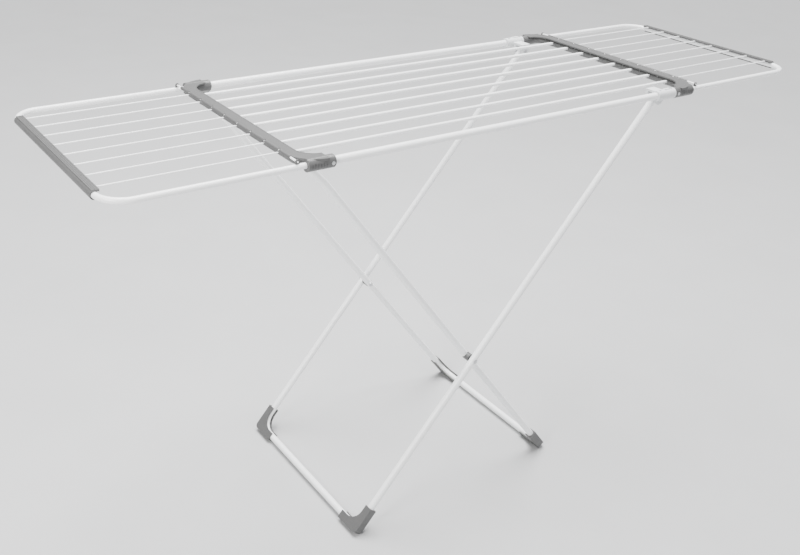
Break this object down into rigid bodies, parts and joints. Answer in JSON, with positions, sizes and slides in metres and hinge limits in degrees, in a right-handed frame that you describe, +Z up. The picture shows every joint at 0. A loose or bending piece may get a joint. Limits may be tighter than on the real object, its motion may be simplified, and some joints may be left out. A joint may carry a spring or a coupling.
{
  "type": "winged clothes drying rack",
  "caption": "Free-standing folding clothes drying rack: a barred deck on scissor legs, with a hinged wing at each end.",
  "frame": {"origin": "on the floor, under the centre of the deck", "axes": "+X along the deck from the fixed leg pivot towards the sliding one, +Y across the deck, +Z up"},
  "size_m": [1.7848, 0.5174, 0.9544],
  "materials": {
    "tube_white": "white gloss powder coat on steel tube",
    "wire_white": "white plastic-coated steel wire and rod",
    "plastic_grey": "mid grey moulded polypropylene, fine matte texture",
    "plastic_white": "white moulded polypropylene",
    "pin_steel": "zinc plated steel rivets and pins"
  },
  "bodies": {
    "deck": {"rail_front": "tube_white", "rail_rear": "tube_white", "end_hoop_left": "tube_white", "end_hoop_right": "tube_white", "deck_rods": "wire_white", "end_moulding_left": "plastic_grey", "end_moulding_right": "plastic_grey", "sleeve_rivets": "pin_steel"},
    "wing_left": {"wing_left_tube": "tube_white", "wing_left_wires": "wire_white", "wing_left_hinge_rod": "wire_white", "wing_left_hinge_tabs": "plastic_grey", "wing_left_end_caps": "plastic_grey", "wing_left_strip": "plastic_grey"},
    "wing_right": {"wing_right_tube": "tube_white", "wing_right_wires": "wire_white", "wing_right_hinge_rod": "wire_white", "wing_right_hinge_tabs": "plastic_grey", "wing_right_end_caps": "plastic_grey", "wing_right_strip": "plastic_grey"},
    "leg_a": {"leg_a_tube": "tube_white", "leg_a_foot_front": "plastic_grey", "leg_a_foot_rear": "plastic_grey", "leg_a_end_plugs": "plastic_grey", "leg_a_pivot_pins": "pin_steel", "leg_crossing_pins": "pin_steel", "crossing_spacers": "plastic_grey"},
    "leg_b": {"leg_b_tube": "tube_white", "leg_b_foot_front": "plastic_grey", "leg_b_foot_rear": "plastic_grey", "leg_b_end_plugs": "plastic_grey", "slider_pins": "pin_steel"},
    "sliders": {"slider_front": "plastic_white", "slider_rear": "plastic_white"}
  },
  "joints": [
    {"name": "legs_fold", "type": "hinge", "parent": "deck", "child": "leg_a", "pos_m": [-0.487, 0, 0.924], "axis": [0, 1, 0], "range_deg": [0, 36]},
    {"name": "legs_cross", "type": "hinge", "parent": "leg_a", "child": "leg_b", "pos_m": [-0.0275, 0, 0.368], "axis": [0, -1, 0], "range_deg": [0, 72]},
    {"name": "slider_swivel", "type": "hinge", "parent": "leg_b", "child": "sliders", "pos_m": [0.432, 0, 0.924], "axis": [0, 1, 0], "range_deg": [0, 36]},
    {"name": "wing_left_fold", "type": "hinge", "parent": "deck", "child": "wing_left", "pos_m": [-0.531, 0, 0.9504], "axis": [0, 1, 0], "range_deg": [0, 180]},
    {"name": "wing_right_fold", "type": "hinge", "parent": "deck", "child": "wing_right", "pos_m": [0.531, 0, 0.9504], "axis": [0, -1, 0], "range_deg": [0, 180]}
  ],
  "couplings": [
    {"joint": "legs_cross", "follows": "legs_fold", "ratio": 2},
    {"joint": "slider_swivel", "follows": "legs_fold", "ratio": 1}
  ]
}
